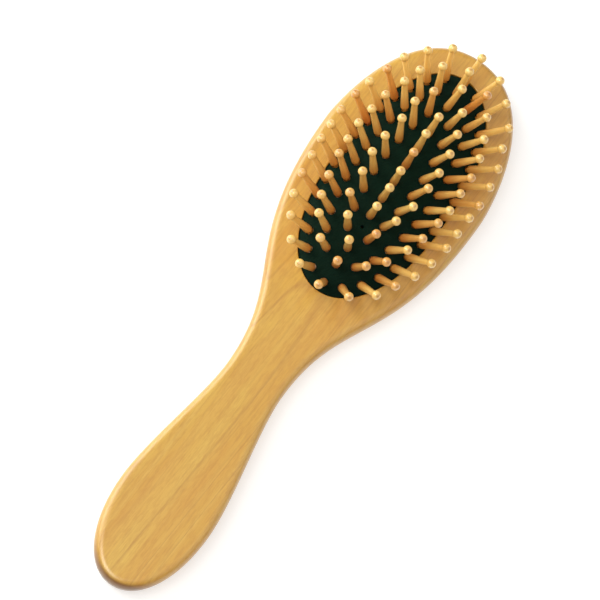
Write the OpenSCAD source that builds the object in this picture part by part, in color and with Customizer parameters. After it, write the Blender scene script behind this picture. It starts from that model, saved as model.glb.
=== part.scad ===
// Wooden cushion hairbrush: a board body with a waisted handle, an air-cushioned rubber pad that
// snaps into an oval pocket in the head, and ball-tipped wooden pins square to the domed pad.
// The brush lies on its back: +X across, +Y towards the head, +Z the way the pins point.
// Origin: middle of the body's length and width, on the flat back.

/* [Wooden body] */
// Overall length, from the handle's end to the head's end
body_length = 220; // [216:1:226]
// Widest part of the head
head_width = 62.8; // [60:0.2:68]
// Narrowest part of the neck
neck_width = 21; // [18:0.2:26]
// Widest part of the handle
handle_width = 34; // [30:0.2:40]
// Thickness of the body, from the face to the back
body_thickness = 10.5; // [10:0.5:12]
// Distance from the handle's end to its widest part
handle_widest_at = 31; // [26:1:38]
// Distance from the handle's end to the neck's narrowest part
neck_at = 82; // [76:1:90]
// Distance from the handle's end to the head's widest part
head_widest_at = 172; // [168:1:175]

/* [Rounded edges] */
// How far the edge runs in from the outline at the face, where it meets it in a crease
face_edge_inset = 2; // [1.4:0.1:2.6]
// Depth of the outline, the widest line of the body, below the face
face_edge_depth = 3; // [2:0.1:4]
// How far the rounded edge runs in from the outline at the back
back_edge_inset = 5; // [3:0.1:6]

/* [Outline fullness] */
// Handle end: how square it is across the end
handle_end_square = 0.57; // [0.5:0.01:0.7]
// Handle end: how far its sides run straight
handle_end_straight = 0.6; // [0.4:0.01:0.7]
// Handle taper: pull towards the handle's full width
taper_handle_pull = 0.28; // [0.2:0.01:0.5]
// Handle taper: pull towards the neck's width
taper_neck_pull = 0.25; // [0.2:0.01:0.5]
// Shoulder: pull towards the neck's width
shoulder_neck_pull = 0.4; // [0.3:0.01:0.5]
// Shoulder: pull towards the head's width
shoulder_head_pull = 0.6; // [0.5:0.01:0.65]
// Head end: how far its sides run straight
head_end_straight = 0.1; // [0.05:0.01:0.4]
// Head end: how square it is across the end
head_end_square = 0.9; // [0.7:0.01:0.95]

/* [Pocket] */
// Depth of the pocket below the face
pocket_depth = 6.5; // [6.2:0.1:7]
// Gap between the pad and the pocket's mouth
mouth_gap = 0.3; // [0.2:0.05:0.4]
// Thickness of the wooden lip that holds the pad's bead
lip_thickness = 1.4; // [1.2:0.1:1.6]
// Clearance around the bead in its groove
groove_clearance = 0.05; // [0.05:0.05:0.1]

/* [Rubber pad] */
// Width of the pad where it leaves the pocket
pad_width = 42.4; // [42.2:0.1:43]
// Length of the pad where it leaves the pocket
pad_length = 90.8; // [90.4:0.2:92]
// Distance from the body's middle to the pad's middle
pad_centre_y = 54.5; // [53.5:0.1:55]
// Squareness of the pad's ends: 2 makes the pad an ellipse
pad_squareness = 2.45; // [2.4:0.05:2.8]
// Rise of the dome above its rim
pad_rise = 7.7; // [7:0.1:8]
// How much steeper the dome is at its two ends than an even crown
pad_end_steepness = 0.7; // [0:0.1:1]
// How far the dome's rim lies below the wooden face
pad_rim_drop = 0.3; // [0.2:0.1:0.5]
// Thickness of the rubber
pad_thickness = 1.6; // [1.4:0.1:1.7]
// Thickness of the upright wall around the rim
pad_wall = 1; // [0.8:0.1:1.1]
// How far the bead reaches into the groove
bead_width = 1.3; // [1:0.1:1.6]
// Thickness of the bead
bead_thickness = 1.2; // [1:0.1:1.4]
// Radius of the air hole
vent_radius = 0.6; // [0.4:0.1:0.8]
// Distance from the pad's middle to the air hole, towards the handle
vent_offset = 21; // [20.6:0.1:22]

/* [Pins] */
// Height of the ball's centre above the pad
pin_height = 14.3; // [13:0.1:16]
// Radius of the ball tip
ball_radius = 1.54; // [1.4:0.02:1.7]
// Radius of the waist below the ball
waist_radius = 0.97; // [0.85:0.02:1.1]
// Radius of the thick lower end
base_radius = 1.42; // [1.3:0.02:1.5]
// Rounding of the lower end
base_round = 0.8; // [0.5:0.1:0.9]
// Radius of the neck that passes through the rubber
neck_radius = 0.95; // [0.8:0.05:1]
// Radius of the flange under the rubber
flange_radius = 1.7; // [1.5:0.05:1.8]
// Thickness of the flange
flange_thickness = 1.2; // [1:0.1:1.4]
// Clearance around the neck in its hole
hole_clearance = 0.1; // [0.1:0.05:0.15]

/* [Centre row] */
// Pins in the straight row along the middle
centre_pins = 6; // [5:1:6]
// Distance between the row's pins
centre_spacing = 7.05; // [6.8:0.05:7.2]
// How far the row is moved towards the head
centre_shift = 1.2; // [1:0.1:2]

/* [Hidden] */
// Each oval ring of pins has one pin at its head end, one at its handle end and equal numbers on
// both sides: name, half width, half length, squareness, shift towards the head, pins on a side
RINGS = [
    ["inner", 7.45, 30.3, 1.78, 0.8, 8],
    ["middle", 14.1, 36.6, 2.06, 0.6, 12],
    ["outer", 19.6, 42.6, 2.02, 0, 15],
];

wood = [0.88, 0.7, 0.42];
pin_wood = [0.84, 0.62, 0.36];
rubber = [0.09, 0.15, 0.14];

side_steps = 18;        // outline points along each of the four side curves
face_edge_steps = 3;    // layers of the edge between the face and the widest line
back_edge_steps = 5;    // layers of the edge between the widest line and the back
pad_sides = 72;         // points around each layer of the pad
dome_steps = 10;        // layers between the crest and the rim
ring_steps = 120;       // points used to measure along a ring
base_steps = 6;         // steps of the rounding at a pin's lower end
slope_step = 0.01;      // distance over which the dome's slope is measured
cut_margin = 1;         // how far a cut runs past the face that it starts from
underside_gap = 0.3;    // between the rubber's underside and a pin's flange
base_gap = 0.1;         // between the rubber's top and a pin's thick end

face_z = body_thickness;
rim_z = face_z - pad_rim_drop;
bead_top_z = face_z - lip_thickness - groove_clearance;
bead_bottom_z = bead_top_z - bead_thickness;
groove_height = bead_thickness + 2 * groove_clearance;
face_edge_radius = (pow(face_edge_depth, 2) + pow(face_edge_inset, 2)) / (2 * face_edge_inset);
face_edge_angle = asin(face_edge_depth / face_edge_radius);

// Names

function two_digits(n) = str(n < 10 ? "0" : "", n);
function centre_name(k) = str("centre_row_pin_", k);
function head_end_name(ring) = str(ring[0], "_ring_head_end_pin");
function handle_end_name(ring) = str(ring[0], "_ring_handle_end_pin");
function pair_name(ring, k) = str(ring[0], "_ring_pin_pair_", two_digits(k));
function side_pins(ring) = ring[5];

// Curves and lofts

function reversed(list) = [for (i = [len(list) - 1:-1:0]) list[i]];
function signed_power(v, e) = sign(v) * pow(abs(v), e);
function bezier(p, t) =
    p[0] * pow(1 - t, 3) + 3 * p[1] * t * pow(1 - t, 2) + 3 * p[2] * t * t * (1 - t) + p[3] * pow(t, 3);

// Oval with its own squareness at the ends (along Y) and at the sides (along X), 2 being an
// ellipse. The angle starts at the +Y end and turns towards +X.
function oval(half_width, half_length, end_squareness, side_squareness, angle) = [
    half_width * signed_power(sin(angle), 2 / side_squareness),
    half_length * signed_power(cos(angle), 2 / end_squareness)
];

// Flat cap over a ring that is its own mirror image, in strips from one side to the other
function cap(count) =
    let (half = count / 2)
    concat(
        [[0, 1, count - 1]],
        [for (i = [1:half - 2]) [i, i + 1, count - i - 1, count - i]],
        [[half - 1, half, half + 1]]
    );

// Closed solid through rings of points, each ring anticlockwise from above, from the top ring on
module loft(rings) {
    count = len(rings[0]);
    last = (len(rings) - 1) * count;
    sides = [
        for (start = [0:count:last - count], i = [0:count - 1])
            let (j = (i + 1) % count)
            [start + i, start + j, start + count + j, start + count + i]
    ];
    first_cap = [for (face = cap(count)) reversed(face)];
    last_cap = [for (face = cap(count)) [for (i = face) last + i]];
    polyhedron([for (ring = rings) each ring], concat(sides, first_cap, last_cap), convexity = 6);
}

// Body outline: four curves up the right side, mirrored on the left

function side_curves() =
    let (
        handle = handle_width / 2,
        neck = neck_width / 2,
        head = head_width / 2,
        taper = neck_at - handle_widest_at,
        shoulder = head_widest_at - neck_at,
        end = body_length - head_widest_at
    ) [
        [
            [0, 0],
            [handle * handle_end_square, 0],
            [handle, handle_widest_at * (1 - handle_end_straight)],
            [handle, handle_widest_at]
        ],
        [
            [handle, handle_widest_at],
            [handle, handle_widest_at + taper * taper_handle_pull],
            [neck, neck_at - taper * taper_neck_pull],
            [neck, neck_at]
        ],
        [
            [neck, neck_at],
            [neck, neck_at + shoulder * shoulder_neck_pull],
            [head, head_widest_at - shoulder * shoulder_head_pull],
            [head, head_widest_at]
        ],
        [
            [head, head_widest_at],
            [head, head_widest_at + end * head_end_straight],
            [head * head_end_square, body_length],
            [0, body_length]
        ]
    ];

function right_side() = [
    for (curve = side_curves(), i = [0:side_steps - 1])
        bezier(curve, i / side_steps) - [0, body_length / 2]
];

function body_outline() =
    let (right = right_side())
    concat(
        right,
        [[0, body_length / 2]],
        [for (i = [len(right) - 1:-1:1]) [-right[i][0], right[i][1]]]
    );

// Direction that points into the body at each point of the outline
function inward(outline) =
    let (count = len(outline))
    [
        for (i = [0:count - 1])
            let (along = outline[(i + 1) % count] - outline[(i + count - 1) % count])
            [-along[1], along[0]] / norm(along)
    ];

// The rounded edge as [distance in from the outline, height], from the face to the back
function edge_profile() = concat(
    [
        for (i = [face_edge_steps:-1:0])
            let (angle = face_edge_angle * i / face_edge_steps)
            [
                face_edge_radius * (1 - cos(angle)),
                face_z - face_edge_depth + face_edge_radius * sin(angle)
            ]
    ],
    [
        for (i = [1:back_edge_steps])
            let (angle = 90 * i / back_edge_steps)
            [back_edge_inset * (1 - cos(angle)), (face_z - face_edge_depth) * (1 - sin(angle))]
    ]
);

module rounded_board() {
    outline = body_outline();
    directions = inward(outline);
    loft([
        for (edge = edge_profile())
            [for (i = [0:len(outline) - 1]) concat(outline[i] + edge[0] * directions[i], edge[1])]
    ]);
}

// The pad's dome, about the pad's middle. The fall is 0 at the crest and 1 at the rim.

function dome_fall(x, y) =
    pow(x / (pad_width / 2), 2) + pow(abs(y) / (pad_length / 2), pad_squareness);

function dome_height(x, y) =
    let (
        fall = dome_fall(x, y),
        end_swell = pad_end_steepness * pow(y / (pad_length / 2), 2)
    )
    rim_z + pad_rise * (1 - fall) * (1 + end_swell * fall);

// Upward direction square to the dome, not yet of unit length: its height is 1
function dome_slope(x, y) = [
    (dome_height(x - slope_step, y) - dome_height(x + slope_step, y)) / (2 * slope_step),
    (dome_height(x, y - slope_step) - dome_height(x, y + slope_step)) / (2 * slope_step),
    1
];

function pad_oval(place, outset, angle) = oval(
    place * pad_width / 2 + outset,
    place * pad_length / 2 + outset,
    pad_squareness,
    2,
    angle
);

// Layers of the pad, as rings of points about the pad's middle: place is 0 at the crest, 1 at the rim
function level_ring(outset, z) = [
    for (i = [0:pad_sides - 1]) concat(pad_oval(1, outset, -360 * i / pad_sides), z)
];

function dome_ring(place, outset, depth) = [
    for (i = [0:pad_sides - 1])
        let (p = pad_oval(place, outset, -360 * i / pad_sides))
        concat(p, dome_height(p[0], p[1]) - depth * norm(dome_slope(p[0], p[1])))
];

module pad_shell() {
    places = [for (i = [1:dome_steps - 1]) i / dome_steps];
    loft(concat(
        [for (place = places) dome_ring(place, 0, 0)],
        [level_ring(0, rim_z)],
        [level_ring(0, bead_top_z)],
        [level_ring(bead_width, bead_top_z)],
        [level_ring(bead_width, bead_bottom_z)],
        [level_ring(-pad_wall, bead_bottom_z)],
        [dome_ring(1, -pad_wall, pad_thickness)],
        [for (place = reversed(places)) dome_ring(place, 0, pad_thickness)]
    ));
}

// Places of the pins, about the pad's middle

function ring_point(ring, angle) = oval(ring[1], ring[2], ring[3], ring[3], angle) + [0, ring[4]];

// Distance along one side of a ring, paired with the angle reached there
function ring_distances(ring) =
    let (path = [for (i = [0:ring_steps]) ring_point(ring, 180 * i / ring_steps)])
    [
        for (
            i = 0, travelled = 0;
            i <= ring_steps;
            travelled = i < ring_steps ? travelled + norm(path[i + 1] - path[i]) : travelled,
            i = i + 1
        )
            [travelled, 180 * i / ring_steps]
    ];

// Place of a ring's pin: station 0 is at the head end, and the stations are evenly spaced
function pin_place(ring, station) =
    let (
        distances = ring_distances(ring),
        travelled = distances[ring_steps][0] * station / (side_pins(ring) + 1)
    )
    ring_point(ring, lookup(travelled, distances));

module square_to_dome(place) {
    direction = dome_slope(place[0], place[1]);
    translate([place[0], pad_centre_y + place[1], dome_height(place[0], place[1])])
        rotate([0, acos(direction[2] / norm(direction)), atan2(direction[1], direction[0])])
            children();
}

module on_ring(ring, station) {
    square_to_dome(pin_place(ring, station)) children();
}

module on_centre_row(k) {
    square_to_dome([0, centre_shift + ((centre_pins + 1) / 2 - k) * centre_spacing]) children();
}

module on_both_sides() {
    children();
    mirror([1, 0, 0]) children();
}

// Sub-parts

module oval_recess(outset, depth, height) {
    translate([0, pad_centre_y, face_z - depth])
        linear_extrude(height)
            polygon([for (i = [0:pad_sides - 1]) pad_oval(1, outset, -360 * i / pad_sides)]);
}

module wooden_body() {
    groove_outset = bead_width + groove_clearance;
    color(wood) difference() {
        rounded_board();
        oval_recess(mouth_gap, pocket_depth, pocket_depth + cut_margin);
        oval_recess(groove_outset, lip_thickness + groove_height, groove_height);
    }
}

module pin_hole() {
    depth = 2 * pad_thickness;
    translate([0, 0, -depth])
        cylinder(h = depth + cut_margin, r = neck_radius + hole_clearance, $fn = 32);
}

module rubber_pad() {
    color(rubber) difference() {
        translate([0, pad_centre_y, 0]) pad_shell();
        for (k = [1:centre_pins]) on_centre_row(k) pin_hole();
        for (ring = RINGS) {
            on_ring(ring, 0) pin_hole();
            on_ring(ring, side_pins(ring) + 1) pin_hole();
            for (k = [1:side_pins(ring)]) on_both_sides() on_ring(ring, k) pin_hole();
        }
        translate([0, pad_centre_y - vent_offset, rim_z])
            cylinder(h = pad_rise + cut_margin, r = vent_radius, $fn = 32);
    }
}

// Turned pin, standing on the pad at z = 0 with its neck and flange below
module pin() {
    flange_top = -pad_thickness - underside_gap;
    flange_bottom = flange_top - flange_thickness;
    stem_top = pin_height - ball_radius / 2;
    rounded_base = [
        for (i = [0:base_steps])
            let (angle = 90 * i / base_steps)
            [
                base_radius - base_round * (1 - sin(angle)),
                base_gap + base_round * (1 - cos(angle))
            ]
    ];
    color(pin_wood) {
        rotate_extrude($fn = 32) polygon(concat(
            [[0, flange_bottom], [flange_radius, flange_bottom], [flange_radius, flange_top]],
            [[neck_radius, flange_top], [neck_radius, base_gap]],
            rounded_base,
            [[waist_radius, stem_top], [0, stem_top]]
        ));
        translate([0, 0, pin_height]) sphere(r = ball_radius, $fn = 32);
    }
}

// Assembly

wooden_body();
rubber_pad();
for (k = [1:centre_pins])
    on_centre_row(k) pin();
for (ring = RINGS) {
    on_ring(ring, 0) pin();
    on_ring(ring, side_pins(ring) + 1) pin();
    for (k = [1:side_pins(ring)])
        on_both_sides() on_ring(ring, k) pin();
}
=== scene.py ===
import math
import random

import bmesh
import bpy
import numpy as np
from mathutils import Matrix, Vector
from mathutils.geometry import tessellate_polygon


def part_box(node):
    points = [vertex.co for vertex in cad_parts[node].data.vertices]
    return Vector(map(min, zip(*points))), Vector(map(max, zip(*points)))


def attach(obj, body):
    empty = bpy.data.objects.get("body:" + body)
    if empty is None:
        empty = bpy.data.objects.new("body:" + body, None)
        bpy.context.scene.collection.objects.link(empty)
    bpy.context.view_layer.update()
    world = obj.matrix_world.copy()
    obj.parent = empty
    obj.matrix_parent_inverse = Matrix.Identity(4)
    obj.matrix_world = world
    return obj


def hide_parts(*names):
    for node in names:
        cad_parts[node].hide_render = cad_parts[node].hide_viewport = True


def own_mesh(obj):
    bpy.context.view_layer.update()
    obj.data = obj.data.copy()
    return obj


# Looks of the wooden cushion hairbrush. Everything is in metres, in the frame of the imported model:
# +X across the brush, +Y towards the head, +Z the way the pins point.

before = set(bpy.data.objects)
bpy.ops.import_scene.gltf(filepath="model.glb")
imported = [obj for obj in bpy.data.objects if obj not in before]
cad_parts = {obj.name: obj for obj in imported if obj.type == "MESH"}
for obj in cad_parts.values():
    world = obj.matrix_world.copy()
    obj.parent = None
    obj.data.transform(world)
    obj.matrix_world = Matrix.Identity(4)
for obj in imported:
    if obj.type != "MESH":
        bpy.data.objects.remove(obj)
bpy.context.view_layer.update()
MM = 0.001

# Wooden body, with the CAD source's names and values
NECK_WIDTH = 21 * MM
HANDLE_WIDTH = 34 * MM
HANDLE_WIDEST_AT = 31 * MM
NECK_AT = 82 * MM
HEAD_WIDEST_AT = 172 * MM
FACE_EDGE_INSET = 2 * MM
FACE_EDGE_DEPTH = 3 * MM
BACK_EDGE_INSET = 5 * MM
HANDLE_END_SQUARE = 0.57
HANDLE_END_STRAIGHT = 0.6
TAPER_HANDLE_PULL = 0.28
TAPER_NECK_PULL = 0.25
SHOULDER_NECK_PULL = 0.4
SHOULDER_HEAD_PULL = 0.6
HEAD_END_STRAIGHT = 0.1
HEAD_END_SQUARE = 0.9
POCKET_DEPTH = 6.5 * MM
MOUTH_GAP = 0.3 * MM
LIP_THICKNESS = 1.4 * MM
GROOVE_CLEARANCE = 0.05 * MM

# Rubber pad
PAD_SQUARENESS = 2.45
PAD_RISE = 7.7 * MM
PAD_END_STEEPNESS = 0.7
PAD_RIM_DROP = 0.3 * MM
PAD_THICKNESS = 1.6 * MM
PAD_WALL = 1 * MM
BEAD_WIDTH = 1.3 * MM
BEAD_THICKNESS = 1.2 * MM
VENT_RADIUS = 0.6 * MM
VENT_OFFSET = 21 * MM

# Pins. Three values differ from the CAD source: the neck is thinner, its hole in the rubber wider and
# the foot a little higher, so that a tilted pin has room as the dome flattens. The foot covers the hole.
PIN_HEIGHT = 14.3 * MM
BALL_RADIUS = 1.54 * MM
WAIST_RADIUS = 0.97 * MM
BASE_RADIUS = 1.42 * MM
NECK_RADIUS = 0.75 * MM
FOOT_GAP = 0.25 * MM
FOOT_ROUNDING = 1.1 * MM
FLANGE_RADIUS = 1.7 * MM
FLANGE_CHAMFER = 0.15 * MM
FLANGE_TOP = -1.9 * MM
FLANGE_BOTTOM = -3.1 * MM
HOLE_RADIUS = 1.4 * MM
PIN_LEAN = math.radians(1.6)

body_low, body_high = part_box("wooden_body")
pad_low, pad_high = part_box("rubber_pad")
BODY_LENGTH = body_high.y - body_low.y
HEAD_WIDTH = body_high.x - body_low.x
FACE_Z = body_high.z
RIM_Z = FACE_Z - PAD_RIM_DROP
PAD_HALF_WIDTH = (pad_high.x - pad_low.x) / 2 - BEAD_WIDTH
PAD_HALF_LENGTH = (pad_high.y - pad_low.y) / 2 - BEAD_WIDTH
PAD_CENTRE_Y = (pad_high.y + pad_low.y) / 2
SLOPE_STEP = 0.01 * MM
SHARP_ANGLE = 35
PIN_SHARP_ANGLE = 40


# Mesh helpers


def make_piece(name, points, faces, material, smooth_under=SHARP_ANGLE):
    mesh = bpy.data.meshes.new(name)
    mesh.from_pydata([tuple(p) for p in points], [], faces)
    work = bmesh.new()
    work.from_mesh(mesh)
    bmesh.ops.recalc_face_normals(work, faces=work.faces)
    work.to_mesh(mesh)
    work.free()
    mesh.shade_smooth()
    mesh.set_sharp_from_angle(angle=math.radians(smooth_under))
    mesh.materials.append(material)
    piece = bpy.data.objects.new(name, mesh)
    bpy.context.scene.collection.objects.link(piece)
    return piece


def side_faces(start, rings, count):
    """Quads that join each ring of count points to the next one."""
    faces = []
    for ring in range(rings - 1):
        low = start + ring * count
        for i in range(count):
            j = (i + 1) % count
            faces.append((low + i, low + j, low + count + j, low + count + i))
    return faces


def at_height(ring, z):
    return np.column_stack([ring, np.full(len(ring), z)])


# Curves shared with the CAD source


def bezier(p, t):
    p = np.asarray(p, float)
    t = np.asarray(t)[:, None]
    return p[0] * (1 - t) ** 3 + 3 * p[1] * t * (1 - t) ** 2 + 3 * p[2] * t**2 * (1 - t) + p[3] * t**3


def signed_power(v, e):
    return np.sign(v) * np.abs(v) ** e


def body_outline(steps):
    handle = HANDLE_WIDTH / 2
    neck = NECK_WIDTH / 2
    head = HEAD_WIDTH / 2
    taper = NECK_AT - HANDLE_WIDEST_AT
    shoulder = HEAD_WIDEST_AT - NECK_AT
    end = BODY_LENGTH - HEAD_WIDEST_AT
    curves = [
        [
            (0, 0),
            (handle * HANDLE_END_SQUARE, 0),
            (handle, HANDLE_WIDEST_AT * (1 - HANDLE_END_STRAIGHT)),
            (handle, HANDLE_WIDEST_AT),
        ],
        [
            (handle, HANDLE_WIDEST_AT),
            (handle, HANDLE_WIDEST_AT + taper * TAPER_HANDLE_PULL),
            (neck, NECK_AT - taper * TAPER_NECK_PULL),
            (neck, NECK_AT),
        ],
        [
            (neck, NECK_AT),
            (neck, NECK_AT + shoulder * SHOULDER_NECK_PULL),
            (head, HEAD_WIDEST_AT - shoulder * SHOULDER_HEAD_PULL),
            (head, HEAD_WIDEST_AT),
        ],
        [
            (head, HEAD_WIDEST_AT),
            (head, HEAD_WIDEST_AT + end * HEAD_END_STRAIGHT),
            (head * HEAD_END_SQUARE, BODY_LENGTH),
            (0, BODY_LENGTH),
        ],
    ]
    t = np.arange(steps) / steps
    right = np.vstack([bezier(curve, t) for curve in curves])
    right[:, 1] -= BODY_LENGTH / 2
    tip = np.array([[0, BODY_LENGTH / 2]])
    left = right[:0:-1] * [-1, 1]
    return np.vstack([right, tip, left])


def inward(outline):
    along = np.roll(outline, -1, axis=0) - np.roll(outline, 1, axis=0)
    across = np.column_stack([-along[:, 1], along[:, 0]])
    return across / np.linalg.norm(across, axis=1, keepdims=True)


def pad_oval(outset, sides, place=1.0):
    turn = -2 * np.pi * np.arange(sides) / sides
    x = (place * PAD_HALF_WIDTH + outset) * np.sin(turn)
    y = (place * PAD_HALF_LENGTH + outset) * signed_power(np.cos(turn), 2 / PAD_SQUARENESS)
    return np.column_stack([x, y + PAD_CENTRE_Y])


def dome_height(points):
    """The dome's height at each (x, y), by the CAD source's rule: it falls from the crest to the rim."""
    along = np.abs(points[:, 1] - PAD_CENTRE_Y) / PAD_HALF_LENGTH
    fall = (points[:, 0] / PAD_HALF_WIDTH) ** 2 + along**PAD_SQUARENESS
    return RIM_Z + PAD_RISE * (1 - fall) * (1 + PAD_END_STEEPNESS * along**2 * fall)


def dome_steepness(points):
    """Length of the dome's slope at each (x, y), with 1 as its height."""
    squares = 1
    for step in ([SLOPE_STEP, 0], [0, SLOPE_STEP]):
        rise = dome_height(points + step) - dome_height(points - step)
        squares = squares + (rise / (2 * SLOPE_STEP)) ** 2
    return np.sqrt(squares)


# Materials


class Nodes:
    """A material's node tree, with short ways to add a node and to join it to others."""

    def __init__(self, name):
        self.material = bpy.data.materials.new(name)
        self.material.use_nodes = True
        self.tree = self.material.node_tree
        self.shader = self.tree.nodes["Principled BSDF"]

    def add(self, kind, settings=None, **inputs):
        node = self.tree.nodes.new("ShaderNode" + kind)
        for key, value in (settings or {}).items():
            setattr(node, key, value)
        for key, value in inputs.items():
            self.feed(node.inputs[key.replace("_", " ")], value)
        return node

    def feed(self, socket, value):
        if isinstance(value, bpy.types.NodeSocket):
            self.tree.links.new(value, socket)
        else:
            socket.default_value = value

    def math(self, operation, a, b=0.0):
        node = self.tree.nodes.new("ShaderNodeMath")
        node.operation = operation
        self.feed(node.inputs[0], a)
        self.feed(node.inputs[1], b)
        return node.outputs[0]

    def stretched(self, vector, scale, offset=(0, 0, 0), turn=(0, 0, 0)):
        node = self.add("Mapping", Vector=vector)
        node.inputs["Scale"].default_value = scale
        node.inputs["Location"].default_value = offset
        node.inputs["Rotation"].default_value = turn
        return node.outputs["Vector"]

    def noise(self, vector, detail=2.0, rough=0.5, distort=0.0):
        node = self.add("TexNoise", Vector=vector, Scale=1.0)
        self.feed(node.inputs["Detail"], detail)
        self.feed(node.inputs["Roughness"], rough)
        self.feed(node.inputs["Distortion"], distort)
        return node.outputs["Fac"]

    def between(self, value, low, high, to_low=0.0, to_high=1.0):
        node = self.add("MapRange", {"clamp": True})
        self.feed(node.inputs["Value"], value)
        node.inputs["From Min"].default_value = low
        node.inputs["From Max"].default_value = high
        node.inputs["To Min"].default_value = to_low
        node.inputs["To Max"].default_value = to_high
        return node.outputs["Result"]

    def mix(self, share, a, b, blend="MIX"):
        node = self.tree.nodes.new("ShaderNodeMix")
        node.data_type = "RGBA"
        node.blend_type = blend
        self.feed(node.inputs["Factor"], share)
        self.feed(node.inputs[6], a)
        self.feed(node.inputs[7], b)
        return node.outputs[2]

    def bump(self, height, distance, strength=1.0, normal=None):
        node = self.add("Bump", Strength=strength, Distance=distance, Height=height)
        if normal is not None:
            self.feed(node.inputs["Normal"], normal)
        return node.outputs["Normal"]


def colour(red, green, blue):
    """A colour given as screen values from 0 to 255, as the linear numbers that a shader takes."""
    linear = [
        v / 12.92 if v <= 0.04045 else ((v + 0.055) / 1.055) ** 2.4
        for v in (red / 255, green / 255, blue / 255)
    ]
    return (*linear, 1.0)


def body_wood():
    """Light close-grained hardwood: tone bands, growth lines, short flecks, specks, darker end grain,
    and painted shade that makes the handle's end much darker.
    """
    n = Nodes("body_wood")
    point = n.add("TexCoord").outputs["Object"]
    point = n.stretched(point, (1, 1, 1), turn=(0, 0, math.radians(2.5)))
    bands = n.noise(n.stretched(point, (110, 6, 60), offset=(3.1, 0.4, 0)), detail=3, distort=0.5)
    patches = n.noise(n.stretched(point, (70, 28, 60), offset=(0, 7, 0)), detail=3, rough=0.6)
    flecks = n.noise(n.stretched(point, (1400, 260, 1200), offset=(2, 1, 5)), detail=3, rough=0.65)
    fibres = n.noise(n.stretched(point, (2100, 60, 1500)), detail=3, rough=0.6)
    streaks = n.noise(n.stretched(point, (420, 9, 420), offset=(9, 0, 2)), detail=3, rough=0.6)
    rings = n.noise(n.stretched(point, (46, 2.6, 24), offset=(1.3, 5.0, 0)), detail=1)
    growth = n.math("MULTIPLY", rings, 30.0)
    line = n.between(n.math("ABSOLUTE", n.math("SINE", growth)), 0.0, 0.16, 1.0, 0.0)

    base = n.mix(n.between(bands, 0.35, 0.65), colour(208, 152, 54), colour(218, 173, 71))
    base = n.mix(n.between(patches, 0.42, 0.62, 0.0, 0.35), base, colour(207, 146, 54))
    base = n.mix(n.between(streaks, 0.38, 0.7, 0.0, 0.35), base, colour(224, 184, 90))
    base = n.mix(n.between(flecks, 0.46, 0.6, 0.0, 0.32), base, colour(192, 132, 47))
    base = n.mix(n.between(fibres, 0.45, 0.7, 0.0, 0.28), base, colour(174, 116, 44))
    base = n.mix(n.math("MULTIPLY", line, 0.34), base, colour(166, 105, 37))
    specks = n.add("TexVoronoi", {"feature": "F1"}, Vector=n.stretched(point, (170, 70, 170)), Scale=1.0)
    speck = n.between(specks.outputs["Distance"], 0.05, 0.1, 1.0, 0.0)
    drawn = n.add("SeparateColor", Color=specks.outputs["Color"]).outputs[0]
    chosen = n.math("GREATER_THAN", drawn, 0.9)
    base = n.mix(n.math("MULTIPLY", n.math("MULTIPLY", speck, chosen), 0.55), base, colour(124, 75, 30))
    # Faces across the grain are darkened a little everywhere as end grain. At the handle's end the
    # darkening is much stronger, and that extra darkness is painted shade.
    facing = n.add("SeparateXYZ", Vector=n.add("NewGeometry").outputs["Normal"]).outputs["Y"]
    end_grain = n.between(n.math("ABSOLUTE", facing), 0.3, 0.7)
    place = n.add("SeparateXYZ", Vector=point).outputs["Y"]
    end_grain_and_painted_shade = n.between(place, -0.107, -0.09, 0.82, 0.2)
    base = n.mix(n.math("MULTIPLY", end_grain, end_grain_and_painted_shade), base, colour(113, 64, 22))
    n.feed(n.shader.inputs["Base Color"], base)
    n.feed(n.shader.inputs["Roughness"], n.between(streaks, 0.3, 0.7, 0.42, 0.52))
    surface = n.math("ADD", n.math("MULTIPLY", fibres, 0.6), n.math("MULTIPLY", flecks, 0.5))
    n.feed(n.shader.inputs["Normal"], n.bump(surface, 0.03 * MM, 0.6))
    n.shader.inputs["Specular IOR Level"].default_value = 0.3
    n.shader.inputs["Coat Weight"].default_value = 1.0
    n.shader.inputs["Coat Roughness"].default_value = 0.3
    n.shader.inputs["Coat IOR"].default_value = 1.65
    return n.material


def pin_wood():
    """Turned pins: grain along each pin, a tone of its own, faint marks round it from the lathe, darker
    end grain at the tip, and painted shade towards each pin's foot.
    """
    n = Nodes("pin_wood")
    local = n.add("Attribute", {"attribute_name": "pin_point"}).outputs["Vector"]
    tone = n.add("Attribute", {"attribute_name": "pin_tone"}).outputs["Fac"]
    grain = n.noise(n.stretched(local, (1400, 1400, 70)), detail=3, rough=0.6)
    broad = n.noise(n.stretched(local, (260, 260, 60)), detail=2)
    marks = n.noise(n.stretched(local, (20, 20, 5200)), detail=2)
    tip = n.add("Attribute", {"attribute_name": "pin_end"}).outputs["Fac"]
    base = n.mix(tone, colour(226, 152, 66), colour(252, 212, 120))
    base = n.mix(n.between(grain, 0.4, 0.7, 0.0, 0.4), base, colour(242, 212, 180), "MULTIPLY")
    base = n.mix(n.between(broad, 0.4, 0.7, 0.0, 0.5), base, colour(246, 226, 198), "MULTIPLY")
    # Painted shade: each pin turns darker and redder towards its foot, where the pad and the pins around
    # it shade it.
    foot = n.add("Attribute", {"attribute_name": "pin_foot_shade"}).outputs["Fac"]
    base = n.mix(n.math("MULTIPLY", foot, 0.9), base, colour(232, 180, 120), "MULTIPLY")
    base = n.mix(n.math("MULTIPLY", tip, 0.6), base, colour(176, 104, 44))
    n.feed(n.shader.inputs["Base Color"], base)
    n.feed(n.shader.inputs["Roughness"], n.between(grain, 0.3, 0.7, 0.4, 0.5))
    height = n.math("ADD", marks, n.math("MULTIPLY", grain, 0.6))
    n.feed(n.shader.inputs["Normal"], n.bump(height, 0.02 * MM, 0.6))
    n.shader.inputs["Coat Weight"].default_value = 1.0
    n.shader.inputs["Coat Roughness"].default_value = 0.22
    n.shader.inputs["Coat IOR"].default_value = 1.7
    return n.material


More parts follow.
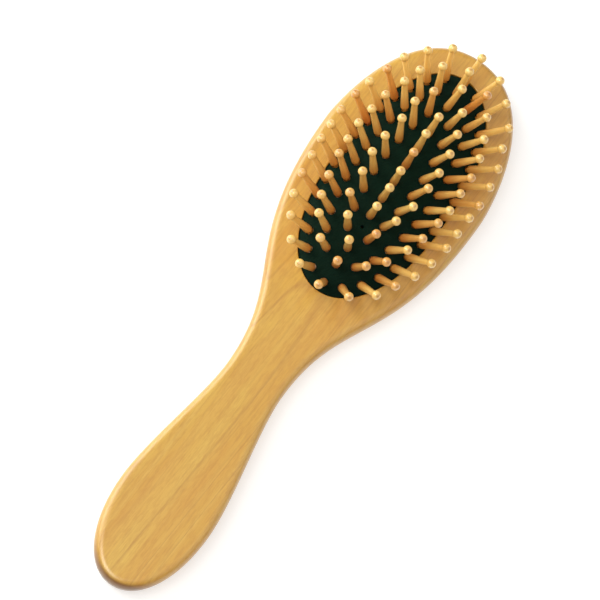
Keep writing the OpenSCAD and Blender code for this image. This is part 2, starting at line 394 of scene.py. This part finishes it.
def pad_fabric():
    """Near-black green rubber with a fine plain weave bonded to its face."""
    n = Nodes("pad_fabric")
    point = n.add("TexCoord").outputs["Object"]
    thread = n.stretched(point, (1, 1, 1), turn=(0, 0, math.radians(35)))
    part = n.add("SeparateXYZ", Vector=thread)
    pitch = 2 * math.pi / (0.55 * MM)
    warp = n.math("SINE", n.math("MULTIPLY", part.outputs["X"], pitch))
    weft = n.math("SINE", n.math("MULTIPLY", part.outputs["Y"], pitch))
    weave = n.math("MULTIPLY", warp, weft)
    slub = n.noise(n.stretched(thread, (1800, 260, 900)), detail=3)
    wear = n.noise(n.stretched(point, (60, 40, 60)), detail=3)
    base = n.mix(n.between(weave, -1, 1), colour(0, 7, 4), colour(16, 48, 34))
    base = n.mix(n.between(slub, 0.4, 0.7, 0.0, 0.5), base, colour(7, 22, 15))
    base = n.mix(n.between(wear, 0.45, 0.75, 0.0, 0.35), base, colour(14, 34, 26))
    n.feed(n.shader.inputs["Base Color"], base)
    n.feed(n.shader.inputs["Roughness"], n.between(slub, 0.3, 0.7, 0.62, 0.8))
    height = n.math("ADD", weave, slub)
    n.feed(n.shader.inputs["Normal"], n.bump(height, 0.05 * MM, 0.5))
    n.shader.inputs["Specular IOR Level"].default_value = 0.06
    n.shader.inputs["Sheen Weight"].default_value = 0.03
    n.shader.inputs["Sheen Roughness"].default_value = 0.5
    n.shader.inputs["Sheen Tint"].default_value = colour(150, 190, 185)
    return n.material


def rim_rubber():
    n = Nodes("rim_rubber")
    point = n.add("TexCoord").outputs["Object"]
    grain = n.noise(n.stretched(point, (900, 900, 900)), detail=3)
    n.feed(n.shader.inputs["Base Color"], n.mix(grain, colour(14, 20, 19), colour(26, 36, 34)))
    n.feed(n.shader.inputs["Roughness"], n.between(grain, 0.3, 0.7, 0.55, 0.75))
    n.feed(n.shader.inputs["Normal"], n.bump(grain, 0.02 * MM, 0.5))
    return n.material


# Wooden body

OUTLINE_STEPS = 48
OVAL_SIDES = 192
CREASE_SOFTNESS = 0.9 * MM
FLAT_MARGIN = 0.4 * MM
MOUTH_ROUNDING = 0.35 * MM


def edge_profile():
    """The rounded edge as (distance in from the outline, height), from the face to the back."""
    radius = (FACE_EDGE_DEPTH**2 + FACE_EDGE_INSET**2) / (2 * FACE_EDGE_INSET)
    crease_angle = math.asin(FACE_EDGE_DEPTH / radius)
    widest_z = FACE_Z - FACE_EDGE_DEPTH

    def on_face_edge(angle):
        return np.array([radius * (1 - math.cos(angle)), widest_z + radius * math.sin(angle)])

    soft_angle = crease_angle - CREASE_SOFTNESS / radius
    crease = on_face_edge(crease_angle)
    flat = crease + [CREASE_SOFTNESS, 0]
    below = on_face_edge(soft_angle)
    profile = [flat + [FLAT_MARGIN, 0]]
    for t in np.linspace(0, 1, 6):
        profile.append(flat * (1 - t) ** 2 + 2 * crease * t * (1 - t) + below * t**2)
    for share in np.linspace(1, 0, 13)[1:]:
        profile.append(on_face_edge(soft_angle * share))
    for angle in np.linspace(0, math.pi / 2, 15)[1:]:
        inset = BACK_EDGE_INSET * (1 - math.cos(angle))
        profile.append(np.array([inset, widest_z * (1 - math.sin(angle))]))
    profile.append(np.array([BACK_EDGE_INSET + FLAT_MARGIN, 0]))
    return profile


def pocket_profile():
    """The pocket's wall as (distance out from the pad's oval, height), from the face to its floor."""
    floor_z = FACE_Z - POCKET_DEPTH
    groove_top = FACE_Z - LIP_THICKNESS
    groove_bottom = groove_top - BEAD_THICKNESS - 2 * GROOVE_CLEARANCE
    groove_out = BEAD_WIDTH + GROOVE_CLEARANCE
    profile = [(MOUTH_GAP + MOUTH_ROUNDING + FLAT_MARGIN, FACE_Z)]
    for angle in np.linspace(0, math.pi / 2, 6):
        out = MOUTH_GAP + MOUTH_ROUNDING * (1 - math.sin(angle))
        profile.append((out, FACE_Z - MOUTH_ROUNDING * (1 - math.cos(angle))))
    profile.append((MOUTH_GAP, groove_top))
    profile.append((groove_out, groove_top))
    profile.append((groove_out, groove_bottom))
    profile.append((MOUTH_GAP, groove_bottom))
    profile.append((MOUTH_GAP, floor_z))
    return profile


def build_body(material):
    outline = body_outline(OUTLINE_STEPS)
    directions = inward(outline)
    edge = [at_height(outline + inset * directions, z) for inset, z in edge_profile()]
    pocket = [at_height(pad_oval(out, OVAL_SIDES), z) for out, z in pocket_profile()]
    around = len(outline)
    pocket_start = len(edge) * around
    points = np.vstack(edge + pocket)
    faces = side_faces(0, len(edge), around)
    faces += side_faces(pocket_start, len(pocket), OVAL_SIDES)
    faces.append(tuple(range(pocket_start - around, pocket_start)))
    faces.append(tuple(range(len(points) - OVAL_SIDES, len(points))))
    mouth = [Vector(p) for p in pocket[0]]
    for triangle in tessellate_polygon([[Vector(p) for p in edge[0]], mouth]):
        faces.append(tuple(i if i < around else pocket_start + i - around for i in triangle))
    return make_piece("body_board", points, faces, material)


# Rubber pad

DOME_SIDES = 192
DOME_RINGS = 40
UNDERSIDE_EDGE = 0.97
HOLE_SIDES = 24
MERGE_DISTANCE = 0.001 * MM


def dome_rings(depth, place_from, place_to, count):
    rings = []
    for place in np.linspace(place_from, place_to, count):
        oval = pad_oval(0, DOME_SIDES, place)
        z = dome_height(oval) - depth * dome_steepness(oval)
        rings.append(np.column_stack([oval, np.maximum(z, RIM_Z)]))
    return rings


def cut_holes(dome, places):
    """Cuts the air hole and each pin's hole through the rubber."""
    cutter_mesh = bpy.data.meshes.new("hole_cutter")
    work = bmesh.new()
    for place, axis, radius in places:
        turn = Vector((0, 0, 1)).rotation_difference(axis).to_matrix().to_4x4()
        bmesh.ops.create_cone(
            work,
            cap_ends=True,
            segments=HOLE_SIDES,
            radius1=radius,
            radius2=radius,
            depth=4 * PAD_THICKNESS,
            matrix=Matrix.Translation(place) @ turn,
        )
    work.to_mesh(cutter_mesh)
    work.free()
    cutter = bpy.data.objects.new("hole_cutter", cutter_mesh)
    bpy.context.scene.collection.objects.link(cutter)
    cut = dome.modifiers.new("holes", "BOOLEAN")
    cut.operation = "DIFFERENCE"
    cut.solver = "EXACT"
    cut.object = cutter
    bpy.context.view_layer.update()
    shaped = dome.evaluated_get(bpy.context.evaluated_depsgraph_get())
    mesh = bpy.data.meshes.new_from_object(shaped)
    dome.modifiers.clear()
    dome.data = mesh
    mesh.shade_smooth()
    mesh.set_sharp_from_angle(angle=math.radians(SHARP_ANGLE))
    bpy.data.objects.remove(cutter)


def build_dome(material, pins):
    centre = 1 / DOME_RINGS
    outside = dome_rings(0, centre, 1, DOME_RINGS)
    underside = dome_rings(PAD_THICKNESS, UNDERSIDE_EDGE, centre, DOME_RINGS)
    points = np.vstack(outside + underside)
    faces = side_faces(0, len(outside) + len(underside), DOME_SIDES)
    faces.append(tuple(range(DOME_SIDES)))
    faces.append(tuple(range(len(points) - DOME_SIDES, len(points))))
    dome = make_piece("pad_dome", points, faces, material)
    vent_y = PAD_CENTRE_Y - VENT_OFFSET
    vent = Vector((0, vent_y, dome_height(np.array([[0, vent_y]]))[0]))
    places = [(vent, Vector((0, 0, 1)), VENT_RADIUS)]
    places += [(base, axis, HOLE_RADIUS) for base, axis in pins]
    cut_holes(dome, places)
    return dome


def build_rim(material):
    bead_top = FACE_Z - LIP_THICKNESS - GROOVE_CLEARANCE
    bead_bottom = bead_top - BEAD_THICKNESS
    profile = [
        (-PAD_WALL, RIM_Z),
        (0, RIM_Z),
        (0, bead_top),
        (BEAD_WIDTH, bead_top),
        (BEAD_WIDTH, bead_bottom),
        (-PAD_WALL, bead_bottom),
    ]
    rings = [at_height(pad_oval(out, DOME_SIDES), z) for out, z in profile]
    points = np.vstack(rings + rings[:1])
    faces = side_faces(0, len(rings) + 1, DOME_SIDES)
    rim = make_piece("pad_rim", points, faces, material)
    work = bmesh.new()
    work.from_mesh(rim.data)
    bmesh.ops.remove_doubles(work, verts=work.verts, dist=MERGE_DISTANCE)
    work.to_mesh(rim.data)
    work.free()
    return rim


# Pins

PIN_SIDES = 40
DARKEST_TONE = 0.2
DARK_PIN_RARITY = 4
TIP_FROM = 0.9 * BALL_RADIUS
TIP_BLEND = 0.08 * BALL_RADIUS
FOOT_SHADE_HEIGHT = 0.55 * PIN_HEIGHT


def pin_places(node, chance):
    """(foot on the pad, upward axis) of each pin in a CAD node, leaning a little in its rubber hole."""
    points = np.array([v.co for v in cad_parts[node].data.vertices], float)
    sides = [np.full(len(points), True)]
    if "_pair_" in node:
        sides = [points[:, 0] > 0, points[:, 0] < 0]
    places = []
    for side in sides:
        own = np.unique(np.round(points[side], 7), axis=0)
        middle = own.mean(axis=0)
        axis = np.linalg.svd(own - middle)[2][0]
        axis *= np.sign(axis[2])
        height = (own - middle) @ axis
        on_ball = own[height > height.max() - BALL_RADIUS]
        system = np.column_stack([2 * on_ball, np.ones(len(on_ball))])
        centre = np.linalg.lstsq(system, (on_ball**2).sum(axis=1), rcond=None)[0][:3]
        foot = centre - PIN_HEIGHT * axis
        about_x = Matrix.Rotation(chance.gauss(0, PIN_LEAN), 3, "X")
        about_y = Matrix.Rotation(chance.gauss(0, PIN_LEAN), 3, "Y")
        places.append((Vector(foot), about_x @ about_y @ Vector(axis)))
    return places


def pin_profile():
    """The pin's outline as (radius, height above the pad), from below the rubber to the ball's top."""
    profile = [
        (0, FLANGE_BOTTOM),
        (FLANGE_RADIUS - FLANGE_CHAMFER, FLANGE_BOTTOM),
        (FLANGE_RADIUS, FLANGE_BOTTOM + FLANGE_CHAMFER),
        (FLANGE_RADIUS, FLANGE_TOP),
        (NECK_RADIUS, FLANGE_TOP),
        (NECK_RADIUS, FOOT_GAP),
    ]
    for angle in np.linspace(0, math.pi / 2, 9):
        radius = NECK_RADIUS + (BASE_RADIUS - NECK_RADIUS) * math.sin(angle)
        profile.append((radius, FOOT_GAP + FOOT_ROUNDING * (1 - math.cos(angle))))
    stem_from = FOOT_GAP + FOOT_ROUNDING
    waist_angle = math.asin(WAIST_RADIUS / BALL_RADIUS)
    stem_to = PIN_HEIGHT - BALL_RADIUS * math.cos(waist_angle)
    for t in np.linspace(0, 1, 15)[1:]:
        swell = t * t * (3 - 2 * t) * 0.35 + t * 0.65
        radius = BASE_RADIUS + (WAIST_RADIUS - BASE_RADIUS) * swell
        profile.append((radius, stem_from + (stem_to - stem_from) * t))
    for angle in np.linspace(math.pi - waist_angle, 0, 17)[1:-1]:
        profile.append((BALL_RADIUS * math.sin(angle), PIN_HEIGHT + BALL_RADIUS * math.cos(angle)))
    profile.append((0, PIN_HEIGHT + BALL_RADIUS))
    return profile


def lathe(profile, sides):
    """Points and faces of a solid of revolution, with one point at each end of the axis."""
    points = [(0, 0, profile[0][1])]
    for radius, z in profile[1:-1]:
        for i in range(sides):
            turn = 2 * math.pi * i / sides
            points.append((radius * math.cos(turn), radius * math.sin(turn), z))
    points.append((0, 0, profile[-1][1]))
    rings = len(profile) - 2
    faces = side_faces(1, rings, sides)
    top = 1 + (rings - 1) * sides
    for i in range(sides):
        j = (i + 1) % sides
        faces.append((0, 1 + j, 1 + i))
        faces.append((len(points) - 1, top + i, top + j))
    return np.array(points), faces


def build_pin_piece(node, places, material, chance):
    local, pattern = lathe(pin_profile(), PIN_SIDES)
    points = []
    faces = []
    grain = []
    tones = []
    for foot, axis in places:
        turn = Vector((0, 0, 1)).rotation_difference(axis).to_matrix()
        start = len(points)
        spin = np.array(Matrix.Rotation(chance.uniform(0, 2 * math.pi), 3, "Z"))
        tone = 1 - (1 - DARKEST_TONE) * chance.uniform(0, 1) ** DARK_PIN_RARITY
        offset = [chance.uniform(0, 1) for _ in range(3)]
        points += list(local @ np.array(turn).T + np.array(foot))
        faces += [tuple(start + i for i in face) for face in pattern]
        grain += list(local @ spin.T + offset)
        tones += [tone] * len(local)
    piece = make_piece(node + "_turned", points, faces, material, smooth_under=PIN_SHARP_ANGLE)
    stored = piece.data.attributes.new("pin_point", "FLOAT_VECTOR", "POINT")
    stored.data.foreach_set("vector", np.array(grain, np.float32).ravel())
    stored = piece.data.attributes.new("pin_tone", "FLOAT", "POINT")
    stored.data.foreach_set("value", np.array(tones, np.float32))
    stored = piece.data.attributes.new("pin_end", "FLOAT", "POINT")
    on_tip = np.clip((local[:, 2] - PIN_HEIGHT - TIP_FROM) / TIP_BLEND, 0, 1)
    stored.data.foreach_set("value", np.tile(on_tip, len(places)).astype(np.float32))
    # Share of the painted shade: full at the foot, falling to none partway up the stem.
    stored = piece.data.attributes.new("pin_foot_shade", "FLOAT", "POINT")
    foot_shade = np.clip(1 - local[:, 2] / FOOT_SHADE_HEIGHT, 0, 1)
    stored.data.foreach_set("value", np.tile(foot_shade, len(places)).astype(np.float32))
    return piece


# Studio

FLOOR_HALF = 3
FLOOR_DROP = 0.2 * MM
WARM_WHITE = (1.0, 0.98, 0.94)
GREENISH_WHITE = (0.96, 1.0, 0.93)


def add_camera():
    """The photograph's viewpoint: nearly square to the face, from a little towards the handle."""
    tilt = math.radians(18.64)
    lean = math.radians(-2.07)
    roll = math.radians(-35.37)
    distance = 1.005
    view_width = 0.1955
    across = Vector((math.cos(lean), 0, math.sin(lean)))
    back = Vector((-math.sin(lean) * math.cos(tilt), -math.sin(tilt), math.cos(lean) * math.cos(tilt)))
    along = back.cross(across)
    right = math.cos(roll) * across - math.sin(roll) * along
    up = math.sin(roll) * across + math.cos(roll) * along
    shift_left = 1.0 * MM
    shift_up = 3.7 * MM
    target = Vector((0, 0, FACE_Z)) - shift_left * right + shift_up * up
    data = bpy.data.cameras.new("camera")
    data.sensor_width = 36
    data.lens = data.sensor_width * distance / view_width
    data.clip_end = 20
    camera = bpy.data.objects.new("camera", data)
    place = target + distance * back
    camera.matrix_world = Matrix((
        (right.x, up.x, back.x, place.x),
        (right.y, up.y, back.y, place.y),
        (right.z, up.z, back.z, place.z),
        (0, 0, 0, 1),
    ))
    bpy.context.scene.collection.objects.link(camera)
    bpy.context.scene.camera = camera


def add_area_light(name, place, size, power, tint=(1, 1, 1)):
    data = bpy.data.lights.new(name, "AREA")
    data.shape = "DISK"
    data.size = size
    data.energy = power
    data.color = tint
    light = bpy.data.objects.new(name, data)
    light.location = place
    light.rotation_euler = (Vector((0, 0, 0)) - Vector(place)).to_track_quat("-Z", "Y").to_euler()
    bpy.context.scene.collection.objects.link(light)


def add_studio():
    world = bpy.data.worlds.new("studio")
    world.use_nodes = True
    background = world.node_tree.nodes["Background"]
    background.inputs["Color"].default_value = (1.0, 1.0, 1.0, 1.0)
    background.inputs["Strength"].default_value = 0.27
    bpy.context.scene.world = world
    add_area_light("side", (-0.9, 0.08, 0.42), 0.9, 8.5, GREENISH_WHITE)
    add_area_light("key", (-0.35, -0.35, 1.15), 0.7, 6.9, WARM_WHITE)
    add_area_light("fill", (0.6, 0.4, 0.95), 1.5, 3.9, WARM_WHITE)
    floor_mesh = bpy.data.meshes.new("floor")
    signs = [(-1, -1), (1, -1), (1, 1), (-1, 1)]
    corners = [(x * FLOOR_HALF, y * FLOOR_HALF, 0) for x, y in signs]
    floor_mesh.from_pydata(corners, [], [(0, 1, 2, 3)])
    paper = Nodes("pale_paper")
    paper.shader.inputs["Base Color"].default_value = (0.6, 0.6, 0.6, 1)
    paper.shader.inputs["Emission Color"].default_value = (1, 1, 1, 1)
    paper.shader.inputs["Emission Strength"].default_value = 0.55
    paper.shader.inputs["Roughness"].default_value = 0.9
    floor_mesh.materials.append(paper.material)
    floor = bpy.data.objects.new("floor", floor_mesh)
    floor.location.z = -FLOOR_DROP
    bpy.context.scene.collection.objects.link(floor)
    bpy.context.scene.view_settings.view_transform = "Standard"


# Assembly

body = build_body(body_wood())
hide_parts("wooden_body")
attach(body, "brush_body")

pin_material = pin_wood()
pin_chance = random.Random(7)
pin_nodes = [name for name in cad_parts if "_pin_" in name or name.endswith("_pin")]
all_places = []
for pin_node in sorted(pin_nodes):
    found = pin_places(pin_node, pin_chance)
    all_places += found
    pin = build_pin_piece(pin_node, found, pin_material, pin_chance)
    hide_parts(pin_node)
    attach(pin, pin_node + "_body")

dome = build_dome(pad_fabric(), all_places)
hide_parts("rubber_pad")
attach(dome, "brush_body")
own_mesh(dome)

rim = build_rim(rim_rubber())
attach(rim, "brush_body")

add_camera()
add_studio()
